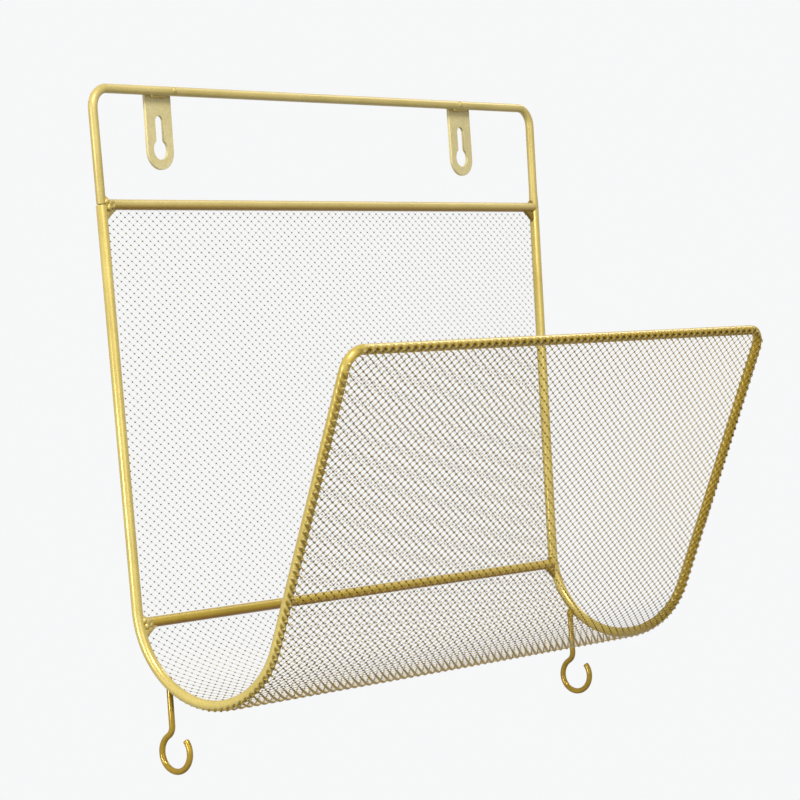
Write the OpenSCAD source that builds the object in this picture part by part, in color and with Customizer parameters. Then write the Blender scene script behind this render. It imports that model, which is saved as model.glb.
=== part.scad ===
// Wall magazine rack: a bent steel wire frame, J-shaped from the side, lined with diamond mesh.
// Two keyhole tabs hang it on screws, and two open wire hooks hang below the trough.
// X runs to the right, Y into the wall and Z up. The origin is on the wall, midway between the
// two keyhole heads.

/* [Frame wire] */
// Diameter of the hanger wire: the top bar, its corners and its legs
hanger_d = 4.2; // [3.5:0.1:4.8]
// Diameter of the basket wire: the sides and the front rim
wire_d = 4.8; // [4.2:0.1:5.6]
// Diameter of the two crossbars, a little under the basket wire
bar_d = 4.7; // [3.6:0.1:4.7]
// Half the frame's width at the top bar, to the wire centre
half_top = 158; // [140:0.5:175]
// Outward lean of each side of the frame from the upright, in degrees
splay = 1.5; // [0.5:0.1:3]
// Sideways offset of the frame's middle from the middle of the two tabs
frame_x = 6; // [0:0.5:12]
// Height of the hanger window, from the upper crossbar to the top bar
window_h = 51; // [45:0.5:70]
// Height of the straight back below the upper crossbar
back_h = 177.5; // [120:0.5:220]
// Radius of the trough, to the wire centre
trough_r = 41.5; // [30:0.5:55]
// Lean of the front out from the upright, in degrees
front_lean = 24; // [10:0.5:35]
// Length of the leaning front, from the trough's end to the rim
front_l = 134; // [90:0.5:180]
// Corner radius of the top bar and of the front rim, to the wire centre
corner_r = 9; // [6:0.5:15]
// Drop of the lower crossbar below the start of the trough's curve
low_bar_drop = 6; // [3:0.5:8]

/* [Keyhole tabs] */
// Thickness of a tab
tab_t = 1.5; // [1:0.1:2]
// Width of a tab
tab_w = 16.5; // [14:0.5:22]
// Distance between the two keyhole heads
head_spacing = 217; // [180:1:240]
// Diameter of a keyhole head
head_d = 9; // [8:0.1:10]
// Width of a keyhole slot
slot_w = 5; // [4:0.1:6]
// Reach of the slot above the head centre, to the centre of its round end
slot_rise = 12.7; // [10:0.1:14]
// Drop of the head centre below the top bar's centre
head_drop = 26; // [24:0.5:32]
// Reach of the tab above the top bar's centre
tab_lap = 1.2; // [0:0.1:1.8]
// Reach of the tab below the head centre
tab_tail = 9; // [8.5:0.1:14]

/* [Mesh] */
// Thickness of the mesh sheet
mesh_t = 0.9; // [0.6:0.1:1.2]
// Width of a strand
strand_w = 3; // [2:0.1:4]
// Diamond columns across the sheet
net_columns = 7; // [4:1:7]
// Diamond rows on the back panel
back_rows = 7; // [3:1:7]
// Diamond rows round the trough
trough_rows = 4; // [3:1:4]
// Diamond rows on the front panel
front_rows = 5; // [3:1:5]

/* [Hooks] */
// Diameter of the hook wire
hook_d = 2.8; // [2.2:0.1:3.2]
// Radius of the hook's bowl, to the wire centre
bowl_r = 8.3; // [7:0.1:11]
// Radius of the bend between shank and bowl, to the wire centre
neck_r = 5; // [4:0.1:8]
// Turn of the neck, in degrees
neck_turn = 62; // [45:1:68]
// Rise of the hook's tip past the front of the bowl, in degrees
tip_turn = 40; // [0:1:45]
// Distance of the hook's shank from the wall
shank_y = 15.5; // [13:0.5:20]
// Depth of the neck's start below the trough's lowest wire centre
shank_drop = 9.5; // [8:0.5:14]

/* [Welds] */
// Reach of the fillet welds along the crossbars
fillet_run = 6.5; // [3:0.1:8]
// Reach of those fillets down the side wires
fillet_leg = 5; // [3:0.1:6]
// Width of those fillets, across the frame
fillet_w = 3; // [2:0.1:3.4]
// Diameter of the weld bead along each tab's lap
lap_bead_d = 2.4; // [1.8:0.1:3]
// Diameter of the weld bead round each hook's shank end
hook_bead_d = 3.8; // [3.4:0.1:4.4]
// Length of that bead down the shank
hook_bead_h = 3; // [2:0.1:4]

/* [Hidden] */
$fn = 64;

wire_gold = "#b8923c";
mesh_gold = "#a88a48";
tab_gold = "#cbb677";
hook_gold = "#a87c22";

// Planes and levels of the wire centres
wire_y = -(tab_t + hanger_d / 2);
top_z = head_drop;
up_z = top_z - window_h;
arc_z = up_z - back_h;
low_z = arc_z - low_bar_drop;
arc_y = wire_y - trough_r;
arc_turn = 180 - front_lean;
low_bar_turn = asin(low_bar_drop / trough_r);
low_bar_y = arc_y + trough_r * cos(low_bar_turn);

// Front panel: foot where the curve ends, head at the rim
front_u = [0, -sin(front_lean), cos(front_lean)];
front_foot = [0, arc_y - trough_r * cos(front_lean), arc_z - trough_r * sin(front_lean)];
front_head = front_foot + front_l * front_u;

// Widths to the wire centre, which shrink down the splayed sides
half_up = half_at(up_z);
half_low = half_at(arc_z);
half_bar = half_at(low_z);
half_foot = half_at(front_foot.z);
half_front = half_at(front_head.z);
front_splay = atan((half_front - half_foot) / front_l);

// A bend has flat sides just clear of the straight wire, which ends inside it
bend_sides = 10;
hook_sides = 6;
bend_step = 0.02;
run_in = 0.2;
shank_d = hook_d - 2 * bend_step;

// Reach of the rim's corners down the front, to where the side wires take over
rim_leg = 1.5 * corner_r;

// The mesh lies on the outside of the wires, and its edge strip hides behind them
edge_out = wire_d / 4;
edge_in = wire_d / 2;
mesh_r = trough_r + bend_d(wire_d, bend_sides) / 2;

// Cut across the front mesh's top corners, so that they follow the rim's rounded corners
mesh_trim = corner_r * (2 - sqrt(2));

// Hook levels in its own plane, and where its shank lies beside the side wire
hook_turn = acos((-shank_y - arc_y) / trough_r);
shank_wire_z = arc_z - trough_r * sin(hook_turn);
hook_x = half_at(shank_wire_z) - wire_d / 2 - hook_d / 2;
shank_top = shank_wire_z + wire_d / 2;
neck_z = arc_z - trough_r - shank_drop;
neck_reach = neck_r + bowl_r;
bowl_y = -shank_y + neck_r - neck_reach * cos(neck_turn);
bowl_z = neck_z - neck_reach * sin(neck_turn);

// Round rod between two points
module rod(from, to, d) {
    run = to - from;
    translate(from)
        rotate([0, acos(run.z / norm(run)), atan2(run.y, run.x)])
            cylinder(h = norm(run), d = d);
}

// Width over the edges of a bend with so many sides, for a wire of diameter d
function bend_d(d, sides) = d / cos(180 / sides) + bend_step;

// Bent rod in its local XY plane, from one angle counter-clockwise through turn
module bend(r, d, from, turn, sides = bend_sides) {
    rotate([0, 0, from])
        rotate_extrude(angle = turn)
            translate([r, 0])
                circle(d = bend_d(d, sides), $fn = sides);
}

// The same bend with a straight leg that runs on from its start
module bend_with_leg(r, d, from, turn, leg, sides = bend_sides) {
    bend(r, d, from, turn, sides);
    rotate([0, 0, from])
        translate([r, run_in, 0])
            rotate([90, 0, 0])
                cylinder(h = leg + run_in, d = d);
}

// Puts a local XY drawing into the YZ plane
module side_plane(at) {
    translate(at)
        rotate([90, 0, 90])
            children();
}

// Puts a local XY drawing into the front panel's plane, local Y up along the lean
module front_plane(at) {
    translate(at)
        rotate([90 + front_lean, 0, 0])
            children();
}

// Half of the frame's width at a height
function half_at(z) = half_top - (top_z - z) * tan(splay);

// Point on the wire centre of a splayed side of the back
function side_point(side, z) = [frame_x + side * half_at(z), wire_y, z];

// Distance along a splayed side from a bar's line to the end of the bar's rounded corner
function corner_run(lean) = corner_r * (1 + sin(lean)) / cos(lean);

// Straight bar along local X at y = 0, with a rounded corner and a leg at each end
module bar_with_legs(half, lean, leg_end, d) {
    corner_x = half - corner_r * (1 + sin(lean)) * tan(lean) - corner_r * cos(lean);
    translate([-corner_x - run_in, 0, 0])
        rotate([0, 90, 0])
            cylinder(h = 2 * (corner_x + run_in), d = d);
    for (flip = [0, 1])
        mirror([flip, 0, 0])
            translate([corner_x, -corner_r, 0])
                bend_with_leg(corner_r, d, -lean, 90 + lean, leg_end - corner_run(lean));
}

// Top bar with both corners and the short legs down to the upper crossbar
module top_wire_shape() {
    translate([frame_x, wire_y, top_z])
        rotate([90, 0, 0])
            bar_with_legs(half_top, splay, window_h / cos(splay), hanger_d);
}

// Puts a drawing of the trough's side, centred on the curve, onto a splayed side of the frame
module splayed_side(side) {
    translate(side_point(side, arc_z))
        rotate([0, side * splay, 0])
            side_plane([0, -trough_r, 0])
                children();
}

// One side of the frame: straight back, trough curve and leaning front
module side_wire_shape(side) {
    splayed_side(side) {
        translate([trough_r, -run_in, 0])
            rotate([-90, 0, 0])
                cylinder(h = back_h / cos(splay) + run_in, d = wire_d);
        bend_with_leg(trough_r, wire_d, -arc_turn, arc_turn, front_l - rim_leg);
    }
}

// Front rim with both corners and short ends that meet the side wires
module front_rim_shape() {
    front_plane(front_head + [frame_x, 0, 0])
        bar_with_legs(half_front, front_splay, rim_leg, wire_d);
}

// Short lengths of the two side wires, beside a bar at a height on the back or the curve's start
module side_stubs(z) {
    stub = 2 * wire_d;
    for (side = [-1, 1])
        if (z > arc_z)
            rod(side_point(side, z - stub), side_point(side, z + stub), wire_d);
        else
            splayed_side(side)
                bend(trough_r, wire_d, -3 * low_bar_turn, 3 * low_bar_turn);
}

// Bar from side to side, its ends coped round the side wires
module crossbar_shape(y, z, half) {
    difference() {
        rod([frame_x - half, y, z], [frame_x + half, y, z], bar_d);
        side_stubs(z);
    }
}

// Openings of a diamond net on a w by h field centred on X, from y = 0 up, staggered row by row
module net_gaps(w, h, columns, rows) {
    pitch_x = w / columns;
    pitch_y = h / rows;
    slope = norm([pitch_x, pitch_y]);
    gap_x = pitch_x / 2 - strand_w / 2 * slope / pitch_y;
    gap_y = pitch_y / 2 - strand_w / 2 * slope / pitch_x;
    for (i = [0 : 2 * columns])
        for (j = [0 : 2 * rows])
            if ((i + j) % 2 == 0)
                translate([(i - columns) * pitch_x / 2, j * pitch_y / 2])
                    polygon([[gap_x, 0], [0, gap_y], [-gap_x, 0], [0, -gap_y]]);
}

// Outline of a panel that tapers from foot to head, its head corners cut off by trim
module panel_outline(foot_half, head_half, foot, head, trim) {
    right = concat([[foot_half, foot]],
                   trim > 0 ? [[head_half, head - trim], [head_half - trim, head]] : [[head_half, head]]);
    left = [for (i = [len(right) - 1 : -1 : 0]) [-right[i].x, right[i].y]];
    polygon(concat(right, left));
}

// Flat net: an outline with solid edge strips and diamond openings
module net_panel(foot_half, head_half, h, rows, trim) {
    linear_extrude(mesh_t)
        difference() {
            panel_outline(foot_half + edge_out, head_half + edge_out, 0, h, trim);
            intersection() {
                net_gaps(2 * foot_half, h, net_columns, rows);
                panel_outline(foot_half - edge_in, head_half - edge_in, edge_in / 2, h - edge_in, trim);
            }
        }
}

// One gap's prism through the trough sheet, at a column offset and an angle down from the back.
// End is 1 in the first row and -1 in the last, whose gaps stay short of the sheet's end.
module trough_gap(x, angle, gap_x, gap_s, end) {
    reach_in = half_low - edge_in;
    rotate([0, 0, -angle])
        translate([mesh_r - wire_d, 0, 0])
            rotate([0, 90, 0])
                linear_extrude(2 * wire_d)
                    intersection() {
                        translate([-x, 0])
                            polygon([[gap_x, 0], [0, gap_s], [-gap_x, 0], [0, -gap_s]]);
                        translate([0, -end * (2 * gap_s + edge_in / 2)])
                            square([2 * reach_in, 4 * gap_s], center = true);
                    }
}

module top_wire() {
    color(wire_gold)
        top_wire_shape();
}

module left_side_wire() {
    color(wire_gold)
        side_wire_shape(-1);
}

module right_side_wire() {
    color(wire_gold)
        side_wire_shape(1);
}

module front_rim_wire() {
    color(wire_gold)
        front_rim_shape();
}

module upper_crossbar() {
    color(wire_gold)
        crossbar_shape(wire_y, up_z, half_up);
}

module lower_crossbar() {
    color(wire_gold)
        crossbar_shape(low_bar_y, low_z, half_bar);
}

// Mesh on the wall side of the back, from the trough up to the upper crossbar
module mesh_back() {
    color(mesh_gold)
        translate([frame_x, wire_y + wire_d / 2 + mesh_t, arc_z])
            rotate([90, 0, 0])
                net_panel(half_low, half_up, back_h, back_rows, 0);
}

// Mesh under the trough
module mesh_trough() {
    pitch_x = 2 * half_low / net_columns;
    pitch_a = arc_turn / trough_rows;
    pitch_s = pitch_a * PI / 180 * mesh_r;
    slope = norm([pitch_x, pitch_s]);
    gap_x = pitch_x / 2 - strand_w / 2 * slope / pitch_s;
    gap_s = pitch_s / 2 - strand_w / 2 * slope / pitch_x;
    reach = half_low;
    color(mesh_gold)
        side_plane([frame_x, arc_y, arc_z])
            difference() {
                rotate([0, 0, -arc_turn])
                    rotate_extrude(angle = arc_turn)
                        translate([mesh_r, -reach])
                            square([mesh_t, 2 * reach]);
                for (i = [0 : 2 * net_columns])
                    for (j = [0 : 2 * trough_rows])
                        if ((i + j) % 2 == 0) {
                            x = (i - net_columns) * pitch_x / 2;
                            end = j == 0 ? 1 : j == 2 * trough_rows ? -1 : 0;
                            trough_gap(x, j * pitch_a / 2, gap_x, gap_s, end);
                        }
            }
}

// Mesh on the outside of the leaning front, from the trough up to the rim
module mesh_front() {
    color(mesh_gold)
        front_plane(front_foot + [frame_x, 0, 0])
            translate([0, 0, wire_d / 2])
                net_panel(half_foot, half_front, front_l, front_rows, mesh_trim);
}

// Hanging plate with a keyhole: a round head below a narrow slot
module keyhole_tab_shape(x) {
    round_y = tab_w / 2 - tab_tail;
    translate([x, 0, 0])
        rotate([90, 0, 0])
            linear_extrude(tab_t)
                difference() {
                    union() {
                        translate([0, round_y])
                            circle(d = tab_w);
                        translate([-tab_w / 2, round_y])
                            square([tab_w, head_drop + tab_lap - round_y]);
                    }
                    circle(d = head_d);
                    translate([-slot_w / 2, 0])
                        square([slot_w, slot_rise]);
                    translate([0, slot_rise])
                        circle(d = slot_w);
                }
}

module left_keyhole_tab() {
    color(tab_gold)
        keyhole_tab_shape(-head_spacing / 2);
}

module right_keyhole_tab() {
    color(tab_gold)
        keyhole_tab_shape(head_spacing / 2);
}

// Open hook on the inner side of a side wire: shank, neck and a bowl that is cut off square
module hook_shape(side) {
    x = frame_x + side * hook_x;
    neck_run_in = run_in / neck_r * 180 / PI;
    side_plane([x, -shank_y + neck_r, neck_z])
        bend_with_leg(neck_r, shank_d, 180, neck_turn + neck_run_in, shank_top - neck_z, hook_sides);
    side_plane([x, bowl_y, bowl_z])
        bend(bowl_r, hook_d, -180 - tip_turn, 180 + tip_turn + neck_turn, hook_sides);
}

module left_hook() {
    color(hook_gold)
        hook_shape(-1);
}

module right_hook() {
    color(hook_gold)
        hook_shape(1);
}

// Two fillets in the corners between a crossbar's underside and the side wires, set a little to the
// front of the bar's middle
module corner_fillets(y, z, half, front) {
    bite = wire_d / 4;
    difference() {
        for (side = [-1, 1])
            translate([frame_x + side * (half - wire_d / 2), y - front + fillet_w / 2, z - bar_d / 2])
                rotate([90, 0, 0])
                    linear_extrude(fillet_w)
                        polygon([[side * bite, bite], [-side * fillet_run, bite], [-side * fillet_run, 0],
                                 [0, -fillet_leg], [side * bite, -fillet_leg]]);
        side_stubs(z);
        rod([frame_x - half, y, z], [frame_x + half, y, z], bar_d);
    }
}

module crossbar_welds() {
    color(wire_gold) {
        corner_fillets(wire_y, up_z, half_up, 0);
        corner_fillets(low_bar_y, low_z, half_bar, fillet_w / 3);
    }
}

// Short bead under the top bar, along each tab's lap
module tab_welds() {
    bead_z = top_z - hanger_d / 2;
    color(wire_gold)
        difference() {
            for (side = [-1, 1])
                rod([side * head_spacing / 2 - tab_w / 4, -tab_t, bead_z],
                    [side * head_spacing / 2 + tab_w / 4, -tab_t, bead_z], lap_bead_d);
            rod([-head_spacing, wire_y, top_z], [head_spacing, wire_y, top_z], hanger_d);
            translate([-head_spacing, -tab_t, 0])
                cube([2 * head_spacing, 2 * tab_t, 2 * top_z]);
        }
}

// Bead round each hook's shank end, against the side wire
module hook_welds() {
    color(hook_gold)
        for (side = [-1, 1])
            difference() {
                x = frame_x + side * hook_x;
                translate([x + side * hook_d / 4, -shank_y, shank_top - hook_bead_h + hook_d / 4])
                    cylinder(h = hook_bead_h, d = hook_bead_d, $fn = bend_sides);
                splayed_side(side)
                    bend(trough_r, wire_d, -1.5 * hook_turn, hook_turn);
                rod([x, -shank_y, neck_z], [x, -shank_y, shank_top], shank_d);
            }
}

top_wire();
left_side_wire();
right_side_wire();
front_rim_wire();
upper_crossbar();
lower_crossbar();
mesh_back();
mesh_trough();
mesh_front();
left_keyhole_tab();
right_keyhole_tab();
left_hook();
right_hook();
crossbar_welds();
tab_welds();
hook_welds();
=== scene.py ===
import math

import bpy
import bmesh
from mathutils import Matrix, Vector


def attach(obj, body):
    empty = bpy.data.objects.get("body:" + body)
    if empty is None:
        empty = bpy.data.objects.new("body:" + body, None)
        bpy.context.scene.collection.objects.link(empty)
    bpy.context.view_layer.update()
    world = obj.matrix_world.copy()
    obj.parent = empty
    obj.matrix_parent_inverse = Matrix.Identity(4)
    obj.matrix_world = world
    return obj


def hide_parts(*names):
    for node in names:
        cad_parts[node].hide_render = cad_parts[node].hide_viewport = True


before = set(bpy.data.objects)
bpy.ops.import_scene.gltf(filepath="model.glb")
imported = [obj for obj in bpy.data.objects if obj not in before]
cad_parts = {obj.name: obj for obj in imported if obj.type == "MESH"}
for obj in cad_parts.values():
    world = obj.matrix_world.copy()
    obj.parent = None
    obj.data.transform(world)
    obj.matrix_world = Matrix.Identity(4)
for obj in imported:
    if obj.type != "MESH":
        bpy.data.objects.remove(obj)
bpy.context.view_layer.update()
scene = bpy.context.scene
scene.view_settings.view_transform = "Standard"

# The rack's sizes are in millimetres until a mesh is made
MM = 0.001

# The rack's driving sizes, as in the part's source
HANGER_R = 2.1
WIRE_R = 2.4
BAR_R = 2.35
HALF_TOP = 158.0
SPLAY = math.radians(1.5)
FRAME_X = 6.0
BACK_H = 177.5
TROUGH_R = 41.5
FRONT_LEAN = math.radians(24)
FRONT_L = 134.0
CORNER_R = 9.0
LOW_BAR_DROP = 6.0
TAB_T = 1.5
TAB_W = 16.5
TAB_TAIL = 9.0
TAB_LAP = 1.2
HEAD_R = 4.5
HEAD_SPACING = 217.0
SLOT_R = 2.5
SLOT_RISE = 12.7
HOOK_R = 1.4
BOWL_R = 8.3
NECK_R = 5.0
NECK_TURN = math.radians(62)
TIP_TURN = math.radians(40)
SHANK_Y = 15.5
SHANK_DROP = 9.5
FILLET_RUN = 6.5
FILLET_LEG = 5.0

# Levels and planes of the wire centres
WIRE_Y = -(TAB_T + HANGER_R)
TOP_Z = 26.0
UP_Z = -25.0
ARC_Z = UP_Z - BACK_H
ARC_Y = WIRE_Y - TROUGH_R
ARC_TURN = math.pi - FRONT_LEAN
LOW_Z = ARC_Z - LOW_BAR_DROP
LOW_BAR_Y = ARC_Y + math.sqrt(TROUGH_R ** 2 - LOW_BAR_DROP ** 2)


def half_at(z):
    """Half of the frame's width at a height, to the wire centre."""
    return HALF_TOP - (TOP_Z - z) * math.tan(SPLAY)


# Front panel: foot where the curve ends, and the way up along the lean
FRONT_UP = Vector((0, -math.sin(FRONT_LEAN), math.cos(FRONT_LEAN)))
FRONT_OUT = Vector((0, -math.cos(FRONT_LEAN), -math.sin(FRONT_LEAN)))
FRONT_FOOT = Vector((0, ARC_Y - TROUGH_R * math.cos(FRONT_LEAN),
                     ARC_Z - TROUGH_R * math.sin(FRONT_LEAN)))
FRONT_HEAD = FRONT_FOOT + FRONT_L * FRONT_UP


def new_object(name, mesh, material, nodes):
    """Adds a piece of the rack that stands for CAD nodes."""
    obj = bpy.data.objects.new(name, mesh)
    scene.collection.objects.link(obj)
    mesh.materials.clear()
    mesh.materials.append(material)
    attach(obj, "root")
    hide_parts(*nodes)
    return obj


def mesh_of(name, verts, faces, smooth=True):
    """Makes a mesh from millimetre points."""
    mesh = bpy.data.meshes.new(name)
    mesh.from_pydata([(x * MM, y * MM, z * MM) for x, y, z in verts], [], faces)
    mesh.polygons.foreach_set("use_smooth", [smooth] * len(mesh.polygons))
    mesh.update()
    return mesh


# Place of the middle ring on a rounded edge, as a share of the rounding
ROUND_MIDDLE = 0.3


def tube(points, radii, sides, first_round, last_round, ridge=None):
    """Vertices, faces and tones of painted groove shade of a round wire, with a small rounded edge at each
    end.

    A ridge function gives the rise and the tone of painted groove shade at a point, for its index, way
    along and way out.
    """
    rows = []
    grooves = []
    count = len(points)
    ways = []
    for i in range(count):
        ahead = points[min(i + 1, count - 1)] - points[i]
        behind = points[i] - points[max(i - 1, 0)]
        ways.append((ahead.normalized() + behind.normalized()).normalized())
    side = ways[0].orthogonal().normalized()
    for i in range(count):
        side = (side - ways[i] * side.dot(ways[i])).normalized()
        other = ways[i].cross(side)
        radius = radii[i]
        rings = [(0.0, radius)]
        if i == 0:
            middle = first_round * ROUND_MIDDLE
            rings = [(0.0, radius - first_round), (middle, radius - middle), (first_round, radius)]
        if i == count - 1:
            middle = last_round * ROUND_MIDDLE
            rings = [(-last_round, radius), (-middle, radius - middle), (0.0, radius - last_round)]
        for shift, ring_r in rings:
            centre = points[i] + ways[i] * shift
            row = []
            for k in range(sides):
                a = 2 * math.pi * k / sides
                out = math.cos(a) * side + math.sin(a) * other
                rise, groove = ridge(i, ways[i], out) if ridge else (0.0, 0.0)
                row.append(centre + (ring_r + rise) * out)
                grooves.append(groove)
            rows.append(row)
    verts = [tuple(p) for row in rows for p in row]
    faces = []
    for r in range(len(rows) - 1):
        for k in range(sides):
            n = (k + 1) % sides
            faces.append((r * sides + k, r * sides + n, (r + 1) * sides + n, (r + 1) * sides + k))
    faces.append(tuple(range(sides - 1, -1, -1)))
    last = (len(rows) - 1) * sides
    faces.append(tuple(range(last, last + sides)))
    return verts, faces, grooves


# Materials

# The coat's patches of lighter colour and gloss
PATCH_SCALE = 45.0
PATCH_DETAIL = 4.0
PATCH_START = 0.3
PATCH_END = 0.7
GLOSS_SPREAD = 0.07

# The coat's orange peel and the speckle that goes with it
PEEL_DETAIL = 2.0
PEEL_LOW = 0.35
PEEL_HIGH = 0.65
PEEL_STRENGTH = 0.35
SPECKLE_DARK = 0.91
SPECKLE_LIGHT = 1.04

COAT_SPECULAR = 0.35
MESH_SPECULAR = 0.05

# Colours and places of the mesh's tones of painted light and shade, from painted shade in the bonds,
# partly also coat pooled there, to pale painted light on the thin strands
BOND_SHADE_BROWN = (0.14, 0.083, 0.004)
STRAND_SHADE_BROWN = (0.42, 0.27, 0.02)
STRAND_GOLD = (0.68, 0.46, 0.05)
STRAND_LIGHT_PALE = (0.84, 0.74, 0.46)
BROWN_TONE = 0.3
GOLD_TONE = 0.6

# Painted shade on undersides: upward share of the normal where a coat starts to turn brown, and where it
# is brown
SHADE_BELOW_START = 0.1
SHADE_BELOW_FULL = -0.6

WIRE_DARK = (0.61, 0.48, 0.15)
WIRE_LIGHT = (0.70, 0.56, 0.20)


def node_material(name):
    """Starts a material and returns it with its tree and shader."""
    material = bpy.data.materials.new(name)
    material.use_nodes = True
    tree = material.node_tree
    return material, tree, tree.nodes["Principled BSDF"]


def gold_coat(name, dark, light, metallic, roughness, grain_mm, bump_mm):
    """Satin gold coat: patchy and speckled colour, fine orange-peel bump and uneven gloss."""
    material, tree, shader = node_material(name)
    nodes = tree.nodes
    link = tree.links.new
    place = nodes.new("ShaderNodeTexCoord")
    patches = nodes.new("ShaderNodeTexNoise")
    patches.inputs["Scale"].default_value = PATCH_SCALE
    patches.inputs["Detail"].default_value = PATCH_DETAIL
    link(place.outputs["Object"], patches.inputs["Vector"])
    ramp = nodes.new("ShaderNodeValToRGB")
    ramp.color_ramp.elements[0].position = PATCH_START
    ramp.color_ramp.elements[0].color = (*dark, 1)
    ramp.color_ramp.elements[1].position = PATCH_END
    ramp.color_ramp.elements[1].color = (*light, 1)
    link(patches.outputs["Fac"], ramp.inputs["Fac"])
    gloss = nodes.new("ShaderNodeMapRange")
    gloss.inputs["To Min"].default_value = roughness - GLOSS_SPREAD
    gloss.inputs["To Max"].default_value = roughness + GLOSS_SPREAD
    link(patches.outputs["Fac"], gloss.inputs["Value"])
    link(gloss.outputs["Result"], shader.inputs["Roughness"])
    peel = nodes.new("ShaderNodeTexNoise")
    peel.inputs["Scale"].default_value = 1.0 / (grain_mm * MM)
    peel.inputs["Detail"].default_value = PEEL_DETAIL
    link(place.outputs["Object"], peel.inputs["Vector"])
    speckle = nodes.new("ShaderNodeMapRange")
    speckle.inputs["From Min"].default_value = PEEL_LOW
    speckle.inputs["From Max"].default_value = PEEL_HIGH
    speckle.inputs["To Min"].default_value = SPECKLE_DARK
    speckle.inputs["To Max"].default_value = SPECKLE_LIGHT
    link(peel.outputs["Fac"], speckle.inputs["Value"])
    colour = nodes.new("ShaderNodeMix")
    colour.name = "Coat Colour"
    colour.data_type = "RGBA"
    colour.blend_type = "MULTIPLY"
    colour.inputs["Factor"].default_value = 1.0
    link(ramp.outputs["Color"], colour.inputs["A"])
    link(speckle.outputs["Result"], colour.inputs["B"])
    link(colour.outputs["Result"], shader.inputs["Base Color"])
    bump = nodes.new("ShaderNodeBump")
    bump.inputs["Strength"].default_value = PEEL_STRENGTH
    bump.inputs["Distance"].default_value = bump_mm * MM
    link(peel.outputs["Fac"], bump.inputs["Height"])
    link(bump.outputs["Normal"], shader.inputs["Normal"])
    shader.inputs["Metallic"].default_value = metallic
    shader.inputs["Specular IOR Level"].default_value = COAT_SPECULAR
    return material


wire_gold = gold_coat("wire_gold", dark=WIRE_DARK, light=WIRE_LIGHT,
                      metallic=0.15, roughness=0.38, grain_mm=0.9, bump_mm=0.06)
# The upper crossbar's coat is a copy of the wires' coat that gets painted shade below
upper_bar_gold = gold_coat("upper_bar_gold", dark=WIRE_DARK, light=WIRE_LIGHT,
                           metallic=0.15, roughness=0.38, grain_mm=0.9, bump_mm=0.06)
# The lower crossbar's coat: a darker, more saturated copy of the bars' coat, as painted shade
lower_bar_shaded_gold = gold_coat("lower_bar_shaded_gold", dark=(0.50, 0.345, 0.035), light=(0.58, 0.415, 0.06),
                           metallic=0.15, roughness=0.32, grain_mm=0.9, bump_mm=0.06)
basket_gold = gold_coat("basket_gold", dark=(0.62, 0.48, 0.13), light=(0.70, 0.56, 0.17),
                        metallic=0.2, roughness=0.25, grain_mm=0.9, bump_mm=0.06)
weld_gold = gold_coat("weld_gold", dark=(0.56, 0.42, 0.11), light=(0.66, 0.51, 0.17),
                      metallic=0.2, roughness=0.30, grain_mm=0.6, bump_mm=0.1)
tab_gold = gold_coat("tab_gold", dark=(0.77, 0.66, 0.32), light=(0.83, 0.72, 0.37),
                     metallic=0.1, roughness=0.42, grain_mm=1.1, bump_mm=0.04)
hook_gold = gold_coat("hook_gold", dark=(0.34, 0.215, 0.012), light=(0.43, 0.28, 0.025),
                      metallic=0.3, roughness=0.18, grain_mm=1.2, bump_mm=0.03)
mesh_gold = gold_coat("mesh_gold", dark=(0.86, 0.86, 0.84), light=(1.0, 1.0, 1.0),
                      metallic=0.3, roughness=0.36, grain_mm=0.7, bump_mm=0.03)


def paint_mesh_light_and_shade(material):
    """Paints light and shade into the mesh's coat by its tone: painted shade, brown, in the bonds and on
    shaded strands, and painted light, pale gold, on lit thin strands.
    """
    tree = material.node_tree
    tone = tree.nodes.new("ShaderNodeAttribute")
    tone.attribute_name = "light_and_shade_tone"
    shades = tree.nodes.new("ShaderNodeValToRGB")
    shades.color_ramp.elements[0].color = (*BOND_SHADE_BROWN, 1)
    shades.color_ramp.elements[1].color = (*STRAND_LIGHT_PALE, 1)
    for position, colour in ((BROWN_TONE, STRAND_SHADE_BROWN), (GOLD_TONE, STRAND_GOLD)):
        shades.color_ramp.elements.new(position).color = (*colour, 1)
    tree.links.new(tone.outputs["Fac"], shades.inputs["Fac"])
    patch = tree.nodes["Coat Colour"]
    blend = tree.nodes.new("ShaderNodeMix")
    blend.data_type = "RGBA"
    blend.blend_type = "MULTIPLY"
    blend.inputs["Factor"].default_value = 1.0
    tree.links.new(shades.outputs["Color"], blend.inputs["A"])
    tree.links.new(patch.outputs["Result"], blend.inputs["B"])
    shader = tree.nodes["Principled BSDF"]
    tree.links.new(blend.outputs["Result"], shader.inputs["Base Color"])
    shader.inputs["Specular IOR Level"].default_value = MESH_SPECULAR


def mix_in(material, share, colour):
    """Mixes another colour into a coat, over the colours it has, by the share that a socket gives."""
    tree = material.node_tree
    base = tree.nodes["Principled BSDF"].inputs["Base Color"]
    blend = tree.nodes.new("ShaderNodeMix")
    blend.data_type = "RGBA"
    tree.links.new(share, blend.inputs["Factor"])
    tree.links.new(base.links[0].from_socket, blend.inputs["A"])
    blend.inputs["B"].default_value = (*colour, 1)
    tree.links.new(blend.outputs["Result"], base)


def paint_shade_along(material, way, start, end, shade_brown):
    """Paints shade: the coat turns browner between two distances along a way."""
    tree = material.node_tree
    place = tree.nodes["Texture Coordinate"]
    along = tree.nodes.new("ShaderNodeVectorMath")
    along.operation = "DOT_PRODUCT"
    along.inputs[1].default_value = way
    tree.links.new(place.outputs["Object"], along.inputs[0])
    share = tree.nodes.new("ShaderNodeMapRange")
    share.inputs["From Min"].default_value = start * MM
    share.inputs["From Max"].default_value = end * MM
    tree.links.new(along.outputs["Value"], share.inputs["Value"])
    mix_in(material, share.outputs["Result"], shade_brown)


def groove_shade(material, dark):
    """Paints shade into the grooves of a wrapped wire."""
    groove = material.node_tree.nodes.new("ShaderNodeAttribute")
    groove.attribute_name = "groove"
    mix_in(material, groove.outputs["Fac"], dark)


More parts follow.
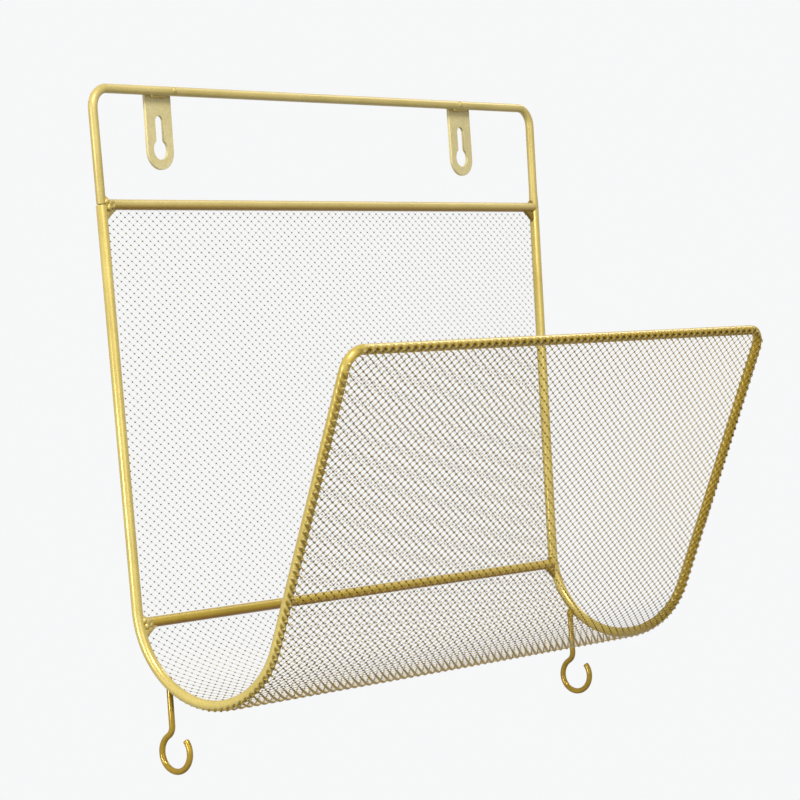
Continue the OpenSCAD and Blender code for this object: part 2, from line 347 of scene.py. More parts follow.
def paint_shade_below(material, shade_brown):
    """Paints shade on undersides: the coat turns brown where the normal points down."""
    tree = material.node_tree
    shape = tree.nodes.new("ShaderNodeNewGeometry")
    parts = tree.nodes.new("ShaderNodeSeparateXYZ")
    tree.links.new(shape.outputs["Normal"], parts.inputs["Vector"])
    share = tree.nodes.new("ShaderNodeMapRange")
    share.inputs["From Min"].default_value = SHADE_BELOW_START
    share.inputs["From Max"].default_value = SHADE_BELOW_FULL
    tree.links.new(parts.outputs["Z"], share.inputs["Value"])
    mix_in(material, share.outputs["Result"], shade_brown)


# Painted light and shade on the mesh: shade in the bonds and on shaded strands, light on lit strands
paint_mesh_light_and_shade(mesh_gold)
# Painted shade on the crossbars' undersides
paint_shade_below(upper_bar_gold, shade_brown=(0.42, 0.25, 0.03))
paint_shade_below(lower_bar_shaded_gold, shade_brown=(0.38, 0.19, 0.0))
# Painted shade on the basket wire towards its right front
paint_shade_along(basket_gold, way=(0.3, -1.0, 0), start=40, end=150, shade_brown=(0.50, 0.335, 0.02))
# Painted shade in the basket wire's grooves
groove_shade(basket_gold, dark=(0.11, 0.065, 0.004))
# Painted shade on the right-hand welds
paint_shade_along(weld_gold, way=(1.0, 0, 0), start=-60, end=60, shade_brown=(0.27, 0.17, 0.015))


# Frame wires: the hanger above the upper crossbar and the basket wire below it, which meet at both sides

SEAM_GAP = 0.3
BLEND_RUN = 9.0
BLEND_STEPS = 8
BEADED_R = 2.2
CORNER_STEPS = 14
HANGER_SIDES = 28
BASKET_SIDES = 32

# Rounded edges of the wire ends at the seam on the left, and of those that join on the right
SEAM_ROUND = 0.3
JOIN_ROUND = 0.01

# The mesh's diamonds: their width, and the step between its rows, half of their height
DIAMOND_X = 5.0
ROW_STEP = 1.77

# Ridges where the mesh is wrapped round the front wires, one to a diamond, with painted shade in their
# grooves
SIDE_PITCH = 2 * ROW_STEP
RIM_PITCH = DIAMOND_X
RIDGE_SLANT = 2.25
RIDGE_RISE = 0.24
# Tones of painted shade in the grooves: deep on the rim and the left, soft on the right
DEEP_GROOVE_SHADE = 0.95
SOFT_GROOVE_SHADE = 0.6

# Where the ridges fade: along the trough's curve, towards the rim's top and round the left wire
RIDGE_CURVE = (0.45, 0.75)
RIM_TURN = (0.3, 0.7)
LEFT_FRONT = (0.3, 0.55)

# Share of X in a wire's way from which it counts as the rim
RIM_WAY = 0.7


def smooth_step(low, high, value):
    """Rises smoothly from 0 to 1 between two values."""
    t = min(max((value - low) / (high - low), 0.0), 1.0)
    return t * t * (3 - 2 * t)


def side_up(side):
    """Way up along a splayed side of the back."""
    return Vector((side * math.sin(SPLAY), 0, math.cos(SPLAY)))


def side_at(side, z):
    """Point on the wire centre of a splayed side of the back."""
    return Vector((FRAME_X + side * half_at(z), WIRE_Y, z))


def side_curve(side, steps):
    """Wire centres round the trough, from the back to the front foot."""
    start = side_at(side, ARC_Z)
    up = side_up(side)
    centre = start + Vector((0, -TROUGH_R, 0))
    return [centre + TROUGH_R * (math.cos(ARC_TURN * i / steps) * Vector((0, 1, 0))
                                 - math.sin(ARC_TURN * i / steps) * up)
            for i in range(steps + 1)]


def corner(before, at, after, steps):
    """A rounded corner between two straight runs that meet at a point."""
    come = (before - at).normalized()
    go = (after - at).normalized()
    half = come.angle(go) / 2
    centre = at + (come + go).normalized() * (CORNER_R / math.sin(half))
    first = at + come * (CORNER_R / math.tan(half))
    last = at + go * (CORNER_R / math.tan(half))
    start = (first - centre).normalized()
    toward = (last - centre) - start * (last - centre).dot(start)
    toward.normalize()
    turn = math.pi - 2 * half
    bend = [centre + CORNER_R * (math.cos(turn * i / steps) * start + math.sin(turn * i / steps) * toward)
            for i in range(1, steps)]
    return [first] + bend + [last]


def hanger_path():
    """Left leg, top bar and right leg."""
    left_top = side_at(-1, TOP_Z)
    right_top = side_at(1, TOP_Z)
    left_foot = side_at(-1, UP_Z + SEAM_GAP / 2)
    right_foot = side_at(1, UP_Z)
    points = [left_foot]
    points += corner(left_foot, left_top, right_top, CORNER_STEPS)
    points += corner(left_top, right_top, right_foot, CORNER_STEPS)
    radii = [HANGER_R] * len(points)
    for i in range(BLEND_STEPS + 1):
        points.append(side_at(1, UP_Z + BLEND_RUN * (1 - i / BLEND_STEPS)))
        radii.append(HANGER_R + (WIRE_R - HANGER_R) * smooth_step(0, BLEND_STEPS, i))
    return points, radii


def basket_path():
    """Right side, front rim and left side, with the wire's radius and ridge share at each point."""
    curve_steps = 160
    front_steps = 190
    rim_steps = 380
    right_curve = side_curve(1, curve_steps)
    left_curve = side_curve(-1, curve_steps)
    left_head = FRONT_HEAD + Vector((FRAME_X - half_at(FRONT_HEAD.z), 0, 0))
    right_head = FRONT_HEAD + Vector((FRAME_X + half_at(FRONT_HEAD.z), 0, 0))
    curve_radii = [WIRE_R + (BEADED_R - WIRE_R) * i / curve_steps for i in range(curve_steps + 1)]
    right_bend = corner(right_curve[-1], right_head, left_head, CORNER_STEPS)
    left_bend = corner(right_head, left_head, left_curve[-1], CORNER_STEPS)
    right_front = [right_curve[-1].lerp(right_bend[0], i / front_steps) for i in range(1, front_steps)]
    rim = [right_bend[-1].lerp(left_bend[0], i / rim_steps) for i in range(1, rim_steps)]
    left_front = [left_bend[-1].lerp(left_curve[-1], i / front_steps) for i in range(1, front_steps)]
    front = right_front + right_bend + rim + left_bend + left_front
    points = [side_at(1, UP_Z)] + right_curve + front + left_curve[::-1]
    points += [side_at(-1, UP_Z - SEAM_GAP / 2)]
    radii = [WIRE_R] + curve_radii + [BEADED_R] * len(front) + curve_radii[::-1] + [WIRE_R]
    curve_shares = [smooth_step(*RIDGE_CURVE, i / curve_steps) for i in range(curve_steps + 1)]
    right_shares = [abs(2 * i / CORNER_STEPS - 1) for i in range(CORNER_STEPS + 1)]
    left_shares = [max(1 - 2 * i / CORNER_STEPS, 0.0) for i in range(CORNER_STEPS + 1)]
    shares = [0.0] + curve_shares + [1.0] * len(right_front) + right_shares + [1.0] * len(rim)
    shares += left_shares + [1.0] * len(left_front) + curve_shares[::-1] + [0.0]
    return points, radii, shares


def basket_ridge(i, ahead, out):
    """Rise and painted groove shade on the basket wire: chevrons along the rim, slanting ridges on the
    sides.
    """
    share = basket_shares[i]
    spot = basket_points[i]
    if abs(ahead.x) > RIM_WAY:
        turn = math.atan2(out.z, -out.y)
        wave = math.cos(2 * math.pi * (spot.x + RIDGE_SLANT * abs(turn)) / RIM_PITCH)
        depth = share * (1 - smooth_step(*RIM_TURN, turn))
        return RIDGE_RISE * depth * wave, DEEP_GROOVE_SHADE * depth * max(-wave, 0.0)
    side = 1 if spot.x > 0 else -1
    front = Vector((side, 0, 0)).cross(ahead)
    turn = math.atan2(out.x, out.dot(front))
    length = (spot - FRONT_FOOT).dot(FRONT_UP)
    if length < 0:
        length = TROUGH_R * (math.atan2(ARC_Z - spot.z, spot.y - ARC_Y) - ARC_TURN)
    wave = math.cos(2 * math.pi * (length + RIDGE_SLANT * turn) / SIDE_PITCH)
    if side > 0:
        return RIDGE_RISE * share * wave, SOFT_GROOVE_SHADE * share * max(-wave, 0.0)
    depth = share * smooth_step(*LEFT_FRONT, out.dot(front))
    return RIDGE_RISE * depth * wave, DEEP_GROOVE_SHADE * depth * max(-wave, 0.0)


hanger_points, hanger_radii = hanger_path()
hanger_verts, hanger_faces, _ = tube(hanger_points, hanger_radii, HANGER_SIDES, SEAM_ROUND, JOIN_ROUND)
hanger_mesh = mesh_of("hanger_wire", hanger_verts, hanger_faces)
new_object("hanger_wire", hanger_mesh, wire_gold, ["top_wire"])
basket_points, basket_radii, basket_shares = basket_path()
basket_verts, basket_faces, basket_grooves = tube(basket_points, basket_radii, BASKET_SIDES,
                                                  JOIN_ROUND, SEAM_ROUND, basket_ridge)
basket_mesh = mesh_of("basket_wire", basket_verts, basket_faces)
# Painted shade in the grooves, read by the basket's material
basket_mesh.attributes.new("groove", "FLOAT", "POINT").data.foreach_set("value", basket_grooves)
new_object("basket_wire", basket_mesh, basket_gold,
           ["left_side_wire", "right_side_wire", "front_rim_wire"])


# Mesh: expanded metal, one zigzag strand to a row, on the outside of the frame.
# Its edge is wrapped round the front wires.

# Swing of a strand to each side of its row, half of its flat run at a bond and the room left at its ends
SWING = 0.83
TURN_RUN = 0.2
END_CLEAR = 0.05

# Height of the sheet over the wires, and depth of the strands that the lumps sit on
MESH_LIFT = 0.3
LUMP_SEAT = 0.3

# Width, depth and tone of a strand where it falls and where it rises to the right on the front:
# on the back, on the front, at the trough's bottom and on the wrapped edge. Low tones are painted shade,
# high tones painted light
FALLING = ((0.055, 0.12, 1.0), (0.165, 0.21, 0.06), (1.1, 0.6, 0.36), (0.5, 0.40, 0.3))
RISING = ((0.055, 0.12, 1.0), (0.28, 0.18, 0.66), (0.08, 0.12, 0.8), (0.1, 0.1, 0.5))

# Length, width, depth and tone of the lump at a bond, in the same four places: low tones are painted
# shade, partly also coat pooled at the bonds, high tones painted light
LUMP = ((1.3, 0.75, 0.5, 0.0), (1.7, 1.08, 0.8, 0.0), (2.2, 1.5, 1.0, 0.38), (2.2, 1.4, 0.85, 0.75))

MESH_OUT = WIRE_R + MESH_LIFT
MESH_R = TROUGH_R + MESH_OUT
BACK_END = BACK_H
TROUGH_END = BACK_END + ARC_TURN * MESH_R
SHEET_END = TROUGH_END + FRONT_L

# How far the strands run past the wires' middles: on the back, the front's sides, the rim and the corners
BACK_OVER = 0.15
SIDE_OVER = 2.7
RIM_OVER = 1.6
CORNER_OVER = 0.7
RIM_HALF = half_at(FRONT_HEAD.z)

# Start of the wrapped edge, in from the wire's middle, and half the width of the change there
BEAD_ZONE = 2.6
ZONE_EDGE = 0.4

# Where the trough's bottom begins and ends, in degrees round the curve from the back
BOTTOM_START = (96.5, 99.5)
BOTTOM_END = (116, 127)

# Painted light: the front's coat gets paler to the right, how much, and between which lengths and widths
PAINTED_LIGHT_SHARE = 0.4
PAINTED_LIGHT_S = (TROUGH_END - 40, TROUGH_END + 60)
PAINTED_LIGHT_X = (-60, 150)


def sheet_at(s):
    """Wire centre line, half width, way along and way out, at a length down the back from its top."""
    if s < BACK_END:
        z = UP_Z - s
        return Vector((0, WIRE_Y, z)), half_at(z), Vector((0, 0, -1)), Vector((0, 1, 0))
    if s < TROUGH_END:
        a = (s - BACK_END) / MESH_R
        out = Vector((0, math.cos(a), -math.sin(a)))
        wire = Vector((0, ARC_Y, ARC_Z)) + TROUGH_R * out
        return wire, half_at(wire.z), Vector((0, -math.sin(a), -math.cos(a))), out
    wire = FRONT_FOOT + (s - TROUGH_END) * FRONT_UP
    return wire, half_at(wire.z), FRONT_UP, FRONT_OUT


def front_share(s):
    """0 on the back, 1 on the front, and between them round the trough."""
    return smooth_step(BACK_END, TROUGH_END, s)


def bottom_share(s):
    """1 in a band just in front of the trough's lowest line, 0 elsewhere."""
    a = math.degrees((s - BACK_END) / MESH_R)
    return smooth_step(*BOTTOM_START, a) * (1 - smooth_step(*BOTTOM_END, a))


def place_form(forms, x, s, past):
    """Sizes and tone of painted light and shade for a place on the sheet, at a distance past the edge
    wire's middle.
    """
    share = front_share(s)
    low = bottom_share(s)
    wrapped = share * smooth_step(-BEAD_ZONE - ZONE_EDGE, -BEAD_ZONE + ZONE_EDGE, past)
    form = []
    for back, front, bottom, edge in zip(*forms):
        flat = (back + (front - back) * share) * (1 - low) + bottom * low
        form.append(flat + (edge - flat) * wrapped)
    # Painted light, paler to the right on the front
    painted_light = PAINTED_LIGHT_SHARE * (1 - wrapped) * smooth_step(*PAINTED_LIGHT_X, x) * smooth_step(*PAINTED_LIGHT_S, s)
    form[-1] += (1 - form[-1]) * painted_light
    return form


def edge_of(x, s, half):
    """Distance past the wire's centre line, and the way across that line in X and s."""
    side = 1 if x > 0 else -1
    in_x = abs(x) - (RIM_HALF - CORNER_R)
    in_s = s - (SHEET_END - CORNER_R)
    if in_x > 0 and in_s > 0:
        far = math.hypot(in_x, in_s)
        return far - CORNER_R, side * in_x / far, in_s / far
    past_side = abs(x) - half
    past_rim = s - SHEET_END
    if past_rim > past_side:
        return past_rim, 0.0, 1.0
    return past_side, float(side), 0.0


def row_reach(s, half):
    """How far a row runs to each side of the middle."""
    in_s = s - (SHEET_END - CORNER_R)
    if in_s > 0:
        over = CORNER_R + CORNER_OVER
        return RIM_HALF - CORNER_R + math.sqrt(max(over ** 2 - min(in_s, over) ** 2, 0.0))
    return half + BACK_OVER + (SIDE_OVER - BACK_OVER) * front_share(s)


def sheet_place(x, s, depth, past, way_x, way_s):
    """A point on the sheet, wrapped round the wire at the edge, with the ways across, along and out."""
    wire, _, along, out = sheet_at(s)
    reach = WIRE_R + depth / 2
    turn = max(past, 0.0) / reach
    way = Vector((way_x, 0, 0)) + along * way_s
    turned = way * math.cos(turn) - out * math.sin(turn)
    centre = wire + Vector((FRAME_X + x, 0, 0)) - way * max(past, 0.0)
    centre += (way * math.sin(turn) + out * math.cos(turn)) * reach
    across = Vector((1, 0, 0)) + (turned - way) * way_x
    along = along + (turned - way) * way_s
    return centre, across, along, out * math.cos(turn) + way * math.sin(turn)


def strand_ring(x, s, forms, verts, tones):
    """Adds the four corners of a strand at a place on the sheet."""
    past, way_x, way_s = edge_of(x, s, sheet_at(s)[1])
    width, depth, tone = place_form(forms, x, s, past)
    centre, _, along, out = sheet_place(x, s, depth, past, way_x, way_s)
    wide = along * (width / 2)
    thick = out * (depth / 2)
    spots = (wide + thick, thick - wide, -wide - thick, wide - thick)
    verts.extend(tuple(centre + spot) for spot in spots)
    tones.extend([tone] * 4)


def lump(x, s, verts, faces, tones):
    """Adds the lump of coat at a bond, with six points and eight faces."""
    past, way_x, way_s = edge_of(x, s, sheet_at(s)[1])
    length, width, depth, tone = place_form(LUMP, x, s, past)
    centre, across, along, out = sheet_place(x, s, LUMP_SEAT, past, way_x, way_s)
    base = len(verts)
    for way, size in ((across, length), (along, width), (out, depth)):
        verts.append(tuple(centre + way * (size / 2)))
        verts.append(tuple(centre - way * (size / 2)))
    for i in (0, 1):
        for j in (2, 3):
            for k in (4, 5):
                face = (base + i, base + j, base + k)
                faces.append(face if (i + j + k) % 2 == 1 else face[::-1])
    tones.extend([tone] * 6)


def strand_row(row, turn_run, verts, faces, tones):
    """Adds one thin zigzag strand and the lumps where it meets the next row."""
    middle = (row + 0.5) * ROW_STEP
    flip = 1 if row % 2 else -1
    half = sheet_at(middle)[1]
    reach = row_reach(middle, half)
    step = DIAMOND_X / 2
    spots = [(-reach, math.floor(-reach / step))]
    for k in range(-int(reach / step), int(reach / step) + 1):
        if abs(k * step) < reach - turn_run - END_CLEAR:
            if turn_run > 0:
                spots.append((k * step - turn_run, k - 1))
            spots.append((k * step + turn_run, k))
        if (k % 2 == 0) == (flip < 0) and abs(k * step) < reach:
            lump(k * step, middle + ROW_STEP / 2, verts, faces, tones)
    spots.append((reach, math.floor(reach / step)))
    first = len(verts)
    for x, k in spots:
        climb = x / step - k
        rises = flip if k % 2 == 0 else -flip
        forms = RISING if rises > 0 else FALLING
        strand_ring(x, middle + SWING * rises * (2 * climb - 1), forms, verts, tones)
    for i in range(len(spots) - 1):
        base = first + 4 * i
        for k in range(4):
            n = (k + 1) % 4
            faces.append((base + k, base + n, base + 4 + n, base + 4 + k))
    last = first + 4 * (len(spots) - 1)
    faces.append((first + 3, first + 2, first + 1, first))
    faces.append((last, last + 1, last + 2, last + 3))


def mesh_piece(name, node, start, end, turn_run):
    """One panel of the sheet: the rows whose middles lie between two lengths along it."""
    verts = []
    faces = []
    tones = []
    for row in range(int(end / ROW_STEP) + 1):
        if start <= (row + 0.5) * ROW_STEP < end:
            strand_row(row, turn_run, verts, faces, tones)
    mesh = mesh_of(name, verts, faces, False)
    # Tones of painted light and shade, read by the mesh's material
    mesh.attributes.new("light_and_shade_tone", "FLOAT", "POINT").data.foreach_set("value", tones)
    return new_object(name, mesh, mesh_gold, [node])


mesh_piece("back_mesh", "mesh_back", 0.0, BACK_END, 0.0)
mesh_piece("trough_mesh", "mesh_trough", BACK_END, TROUGH_END, TURN_RUN)
mesh_piece("front_mesh", "mesh_front", TROUGH_END, SHEET_END + RIM_OVER, TURN_RUN)


# Keyhole tabs: stamped plates with softened edges

TAB_BEVEL = 0.18
BEVEL_STEPS = 2
TAIL_STEPS = 32
HEAD_STEPS = 40
SLOT_STEPS = 20


def outline_points(tab):
    """Outer edge of a tab, counter-clockwise from its top right corner, in X and Z."""
    round_z = TAB_W / 2 - TAB_TAIL
    head = [(TAB_W / 2, TOP_Z + TAB_LAP), (-TAB_W / 2, TOP_Z + TAB_LAP), (-TAB_W / 2, round_z)]
    turns = [math.pi + math.pi * i / TAIL_STEPS for i in range(1, TAIL_STEPS)]
    foot = [(TAB_W / 2 * math.cos(a), round_z + TAB_W / 2 * math.sin(a)) for a in turns]
    return [(tab + x, z) for x, z in head + foot + [(TAB_W / 2, round_z)]]


def keyhole_points(tab):
    """Edge of a keyhole, clockwise, in X and Z."""
    meet = math.asin(SLOT_R / HEAD_R)
    head_turns = [meet + (2 * math.pi - 2 * meet) * i / HEAD_STEPS for i in range(HEAD_STEPS + 1)]
    slot_turns = [math.pi * i / SLOT_STEPS for i in range(SLOT_STEPS + 1)]
    head = [(HEAD_R * math.sin(a), HEAD_R * math.cos(a)) for a in head_turns]
    slot = [(-SLOT_R * math.cos(a), SLOT_RISE + SLOT_R * math.sin(a)) for a in slot_turns]
    return [(tab + x, z) for x, z in head + slot]


def shaped_mesh(name, obj):
    """The mesh of an object with its modifiers applied; the object is removed."""
    graph = bpy.context.evaluated_depsgraph_get()
    mesh = bpy.data.meshes.new_from_object(obj.evaluated_get(graph))
    mesh.name = name
    bpy.data.objects.remove(obj)
    return mesh


def tab_piece(name, node, tab):
    """A tab as a filled outline with a hole, given thickness and a small bevel."""
    curve = bpy.data.curves.new(name, "CURVE")
    curve.dimensions = "2D"
    curve.fill_mode = "BOTH"
    for ring in (outline_points(tab), keyhole_points(tab)):
        spline = curve.splines.new("POLY")
        spline.points.add(len(ring) - 1)
        for spot, (x, z) in zip(spline.points, ring):
            spot.co = (x * MM, z * MM, 0, 1)
        spline.use_cyclic_u = True
    curve.extrude = (TAB_T / 2 - TAB_BEVEL) * MM
    curve.bevel_depth = TAB_BEVEL * MM
    curve.bevel_resolution = BEVEL_STEPS
    curve.offset = -TAB_BEVEL * MM
    drawn = bpy.data.objects.new(name + "_curve", curve)
    scene.collection.objects.link(drawn)
    mesh = shaped_mesh(name, drawn)
    mesh.transform(Matrix.Translation((0, -TAB_T / 2 * MM, 0)) @ Matrix.Rotation(math.pi / 2, 4, "X"))
    bpy.data.curves.remove(curve)
    return new_object(name, mesh, tab_gold, [node])


tab_piece("left_tab", "left_keyhole_tab", -HEAD_SPACING / 2)
tab_piece("right_tab", "right_keyhole_tab", HEAD_SPACING / 2)


# Hooks: one bent wire each, cut off square

NECK_Z = ARC_Z - TROUGH_R - SHANK_DROP
HOOK_ANGLE = math.acos((-SHANK_Y - ARC_Y) / TROUGH_R)
SHANK_WIRE_Z = ARC_Z - TROUGH_R * math.sin(HOOK_ANGLE)
HOOK_HALF = half_at(SHANK_WIRE_Z) - WIRE_R - HOOK_R
SHANK_SINK = 0.6
SHANK_TOP = SHANK_WIRE_Z - SHANK_SINK
NECK_LEAD = 1.0
NECK_STEPS = 12
BOWL_STEPS = 48
HOOK_SIDES = 24
HOOK_ROUND = 0.25


def hook_path(side):
    """Wire centres of a hook, from the top of its shank to its tip."""
    x = FRAME_X + side * HOOK_HALF
    neck = Vector((x, -SHANK_Y + NECK_R, NECK_Z))
    reach = NECK_R + BOWL_R
    bowl = neck + reach * Vector((0, -math.cos(NECK_TURN), -math.sin(NECK_TURN)))
    points = [Vector((x, -SHANK_Y, SHANK_TOP)), Vector((x, -SHANK_Y, NECK_Z + NECK_LEAD))]
    for i in range(NECK_STEPS + 1):
        a = NECK_TURN * i / NECK_STEPS
        points.append(neck + NECK_R * Vector((0, -math.cos(a), -math.sin(a))))
    sweep = math.pi + TIP_TURN + NECK_TURN
    for i in range(1, BOWL_STEPS + 1):
        a = NECK_TURN - sweep * i / BOWL_STEPS
        points.append(bowl + BOWL_R * Vector((0, math.cos(a), math.sin(a))))
    return points


for side, word in ((-1, "left"), (1, "right")):
    hook_points = hook_path(side)
    hook_radii = [HOOK_R] * len(hook_points)
    hook_verts, hook_faces, _ = tube(hook_points, hook_radii, HOOK_SIDES, HOOK_ROUND, HOOK_ROUND)
    hook_mesh = mesh_of(word + "_hook_wire", hook_verts, hook_faces)
    new_object(word + "_hook_wire", hook_mesh, hook_gold, [word + "_hook"])


# Welds: melted lumps, drawn as balls that are fused and smoothed

BALL_DETAIL = 3
FUSE_VOXEL = 0.22
SOFTEN_SHARE = 0.5
SOFTEN_TIMES = 8

# Fillet under a crossbar: its balls, how far they sag and tuck in, and their radius and swell
FILLET_STEPS = 8
FILLET_SAG = 0.75
FILLET_TUCK = 0.8
FILLET_BALL_R = 0.9
FILLET_SWELL = 0.55

# Lumps of a crossbar joint: distance in from the side wire, distance down or up, and radius
UNDER_BALLS = ((0.9, 0.9, 1.7), (2.8, 0.4, 1.5), (0.4, 2.0, 1.5))
ABOVE_BALLS = ((0.3, 0.3, 1.1), (1.4, -0.2, 0.9))
FRONT_BALLS = ((-0.8, 1.3, 1.4), (0.8, 0.6, 1.6), (2.6, 1.0, 1.3), (2.9, -0.8, 1.4), (0.3, -1.4, 1.5))
FRONT_BALL_REACH = 1.7
LOW_FILLET_FRONT = 1.0

# Row of lumps along each tab's weld
LAP_COUNT = 7
LAP_STEP = 1.3
LAP_Y = -2.2
LAP_Z = 24.0
LAP_WAVE = 0.15
LAP_R = 1.0
LAP_GROWTH = 0.12

# Dots on the front of the top bar: their places, and the shift across, in and up and radius of each ball
DOT_XS = (-101.5, 104.7)
DOT_BALLS = ((0.0, 0.75, 0.3, 1.5), (1.3, 0.45, -0.3, 0.9))

# Lumps down a hook's weld: distance out from the shank, distance up from the weld's middle, and radius
SHANK_BALLS = ((0.6, 0.3, 1.55), (0.9, -0.9, 1.5), (0.5, -2.0, 1.4))
SHANK_WELD_DROP = 1.0


def weld_piece(name, balls, material, node):
    """One piece of fused balls, each a centre and a radius."""
    build = bmesh.new()
    for centre, radius in balls:
        place = Matrix.Translation(centre * MM)
        bmesh.ops.create_icosphere(build, subdivisions=BALL_DETAIL, radius=radius * MM, matrix=place)
    mesh = bpy.data.meshes.new(name + "_balls")
    build.to_mesh(mesh)
    build.free()
    obj = bpy.data.objects.new(name + "_balls", mesh)
    scene.collection.objects.link(obj)
    fuse = obj.modifiers.new("fuse", "REMESH")
    fuse.mode = "VOXEL"
    fuse.voxel_size = FUSE_VOXEL * MM
    soften = obj.modifiers.new("soften", "SMOOTH")
    soften.factor = SOFTEN_SHARE
    soften.iterations = SOFTEN_TIMES
    fused = shaped_mesh(name, obj)
    fused.polygons.foreach_set("use_smooth", [True] * len(fused.polygons))
    bpy.data.meshes.remove(mesh)
    return new_object(name, fused, material, [node])


def crossbar_balls(side, y, z, front, beaded):
    """Lumps of one crossbar joint: a fillet below the bar, a small one above and perhaps some in front."""
    inner = FRAME_X + side * (half_at(z) - WIRE_R)
    under = Vector((inner, y - front, z - BAR_R))
    above = Vector((inner, y, z + BAR_R))
    balls = []
    for i in range(FILLET_STEPS + 1):
        t = i / FILLET_STEPS
        swell = math.sin(math.pi * t)
        sag = FILLET_SAG * swell
        spot = Vector((-side * FILLET_RUN * (1 - t), 0, -FILLET_LEG * t)) + Vector((side * sag, 0, sag))
        tuck = Vector((side * FILLET_TUCK * t, 0, FILLET_TUCK * (1 - t)))
        balls.append((under + spot + tuck, FILLET_BALL_R + FILLET_SWELL * swell))
    for x_in, down, radius in UNDER_BALLS:
        balls.append((under + Vector((-side * x_in, 0, -down)), radius))
    for x_in, up, radius in ABOVE_BALLS:
        balls.append((above + Vector((-side * x_in, 0, up)), radius))
    if beaded:
        for x_in, up, radius in FRONT_BALLS:
            balls.append((Vector((inner - side * x_in, y - FRONT_BALL_REACH, z + up)), radius))
    return balls


joint_balls = []
for side in (-1, 1):
    joint_balls += crossbar_balls(side, WIRE_Y, UP_Z, 0.0, side < 0)
    joint_balls += crossbar_balls(side, LOW_BAR_Y, LOW_Z, LOW_FILLET_FRONT, side < 0)
weld_piece("joint_beads", joint_balls, weld_gold, "crossbar_welds")

lap_balls = []
for side in (-1, 1):
    for i in range(LAP_COUNT):
        lap_x = side * HEAD_SPACING / 2 + LAP_STEP * (i - LAP_COUNT // 2)
        spot = Vector((lap_x, LAP_Y, LAP_Z + LAP_WAVE * (i % 2)))
        lap_balls.append((spot, LAP_R + LAP_GROWTH * (i % 3)))
for dot_x in DOT_XS:
    for shift, depth, up, radius in DOT_BALLS:
        lap_balls.append((Vector((dot_x + shift, WIRE_Y - HANGER_R + depth, TOP_Z + up)), radius))
weld_piece("lap_beads", lap_balls, wire_gold, "tab_welds")

shank_balls = []
for side in (-1, 1):
    for out_by, up, radius in SHANK_BALLS:
        spot = Vector((FRAME_X + side * (HOOK_HALF + out_by), -SHANK_Y, SHANK_TOP + up - SHANK_WELD_DROP))
        shank_balls.append((spot, radius))
weld_piece("shank_beads", shank_balls, hook_gold, "hook_welds")


# Nodes that keep their CAD shape

for node, material in (("upper_crossbar", upper_bar_gold), ("lower_crossbar", lower_bar_shaded_gold)):
    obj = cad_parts[node]
    obj.data.materials.clear()
    obj.data.materials.append(material)


# Floor, light and camera, with places and sizes in metres

FLOOR_Z = -1.5
FLOOR_R = 1.2
FLOOR_SIDES = 96
FLOOR_GRAIN = 6.0
FLOOR_DARK = (0.80, 0.80, 0.79)
FLOOR_LIGHT = (0.84, 0.84, 0.83)
FLOOR_ROUGHNESS = 0.8
BACKDROP = (0.93, 0.935, 0.94)
SOFT_COLOUR = (1.0, 0.99, 0.97)
SOFT_STRENGTH = 0.08

floor_mesh = bpy.data.meshes.new("floor")
floor_build = bmesh.new()
bmesh.ops.create_circle(floor_build, cap_ends=True, radius=FLOOR_R, segments=FLOOR_SIDES)
floor_build.to_mesh(floor_mesh)
floor_build.free()
floor = bpy.data.objects.new("floor", floor_mesh)
floor.location = (0, 0, FLOOR_Z)
scene.collection.objects.link(floor)
floor_paint, floor_tree, floor_shader = node_material("floor_paint")
floor_grain = floor_tree.nodes.new("ShaderNodeTexNoise")
floor_grain.inputs["Scale"].default_value = FLOOR_GRAIN
floor_ramp = floor_tree.nodes.new("ShaderNodeValToRGB")
floor_ramp.color_ramp.elements[0].color = (*FLOOR_DARK, 1)
floor_ramp.color_ramp.elements[1].color = (*FLOOR_LIGHT, 1)
floor_tree.links.new(floor_grain.outputs["Fac"], floor_ramp.inputs["Fac"])
floor_tree.links.new(floor_ramp.outputs["Color"], floor_shader.inputs["Base Color"])
floor_shader.inputs["Roughness"].default_value = FLOOR_ROUGHNESS
floor_mesh.materials.append(floor_paint)

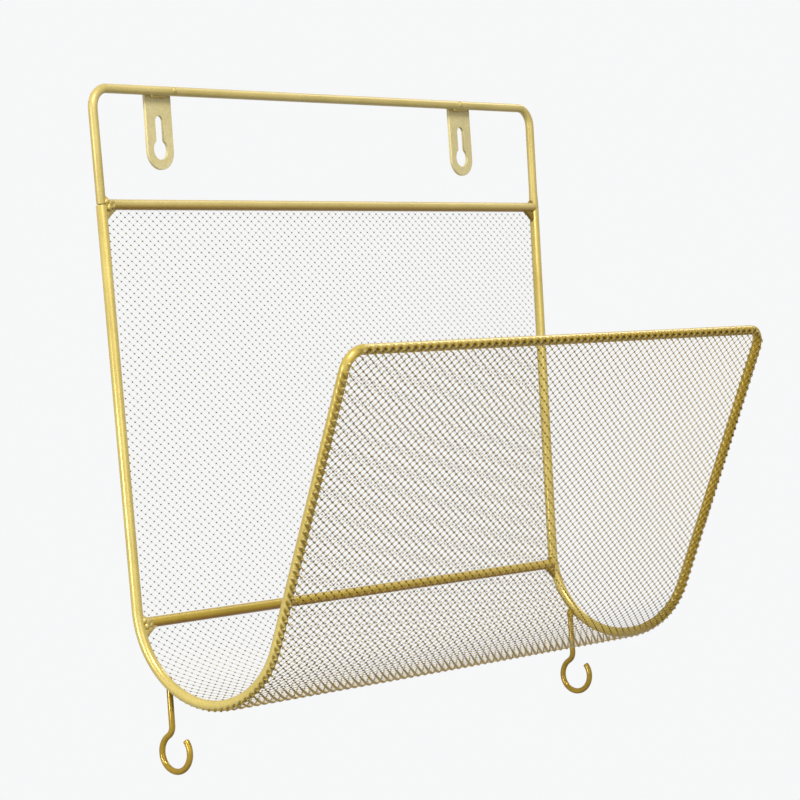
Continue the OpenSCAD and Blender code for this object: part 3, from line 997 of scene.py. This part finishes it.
# The world: a pale backdrop for all that is seen, also in reflections, and a weak soft light
world = bpy.data.worlds.new("studio")
scene.world = world
world.use_nodes = True
wt = world.node_tree
seen = wt.nodes["Background"]
seen.inputs["Color"].default_value = (*BACKDROP, 1)
seen.inputs["Strength"].default_value = 1.0
soft = wt.nodes.new("ShaderNodeBackground")
soft.inputs["Color"].default_value = (*SOFT_COLOUR, 1)
soft.inputs["Strength"].default_value = SOFT_STRENGTH
path = wt.nodes.new("ShaderNodeLightPath")
first_max = wt.nodes.new("ShaderNodeMath")
first_max.operation = "MAXIMUM"
second_max = wt.nodes.new("ShaderNodeMath")
second_max.operation = "MAXIMUM"
wt.links.new(path.outputs["Is Camera Ray"], first_max.inputs[0])
wt.links.new(path.outputs["Is Glossy Ray"], first_max.inputs[1])
wt.links.new(first_max.outputs["Value"], second_max.inputs[0])
wt.links.new(path.outputs["Is Transmission Ray"], second_max.inputs[1])
mix = wt.nodes.new("ShaderNodeMixShader")
wt.links.new(second_max.outputs["Value"], mix.inputs["Fac"])
wt.links.new(soft.outputs["Background"], mix.inputs[1])
wt.links.new(seen.outputs["Background"], mix.inputs[2])
wt.links.new(mix.outputs["Shader"], wt.nodes["World Output"].inputs["Surface"])


RACK_MIDDLE = Vector((0.0, -0.06, -0.12))


def lamp(name, place, size, power, colour):
    """A square soft lamp that points at the rack's middle."""
    data = bpy.data.lights.new(name, "AREA")
    data.size = size
    data.energy = power
    data.color = colour
    obj = bpy.data.objects.new(name, data)
    obj.location = place
    way = RACK_MIDDLE - Vector(place)
    obj.rotation_euler = way.to_track_quat("-Z", "Y").to_euler()
    scene.collection.objects.link(obj)


lamp("key", (-1.2, -1.2, 1.4), size=0.7, power=44, colour=(1.0, 0.99, 0.96))
lamp("left", (-1.7, 0.15, -0.1), size=0.4, power=12, colour=(1.0, 1.0, 1.0))
lamp("right_top", (1.5, -0.1, 1.1), size=0.6, power=6, colour=(1.0, 1.0, 1.0))
lamp("fill", (-0.7, -1.8, 0.4), size=1.2, power=8, colour=(0.98, 0.99, 1.0))

# Camera fitted to the photograph: focal length in pixels of an 800 pixel frame
FOCAL_PX = 3021.0
FRAME_PX = 800.0
SENSOR_MM = 36.0
camera_data = bpy.data.cameras.new("camera")
camera_data.sensor_width = SENSOR_MM
camera_data.lens = FOCAL_PX * SENSOR_MM / FRAME_PX
camera = bpy.data.objects.new("camera", camera_data)
EYE = Vector((-1.08589, -0.93663, -0.11722))
RIGHT = Vector((0.63520, -0.76921, -0.06953)).normalized()
LOOK = Vector((0.77102, 0.63681, -0.00128))
AHEAD = (LOOK - RIGHT * LOOK.dot(RIGHT)).normalized()
UP = RIGHT.cross(AHEAD)
turn = Matrix((RIGHT, UP, -AHEAD)).transposed()
camera.matrix_world = Matrix.Translation(EYE) @ turn.to_4x4()
scene.collection.objects.link(camera)
scene.camera = camera
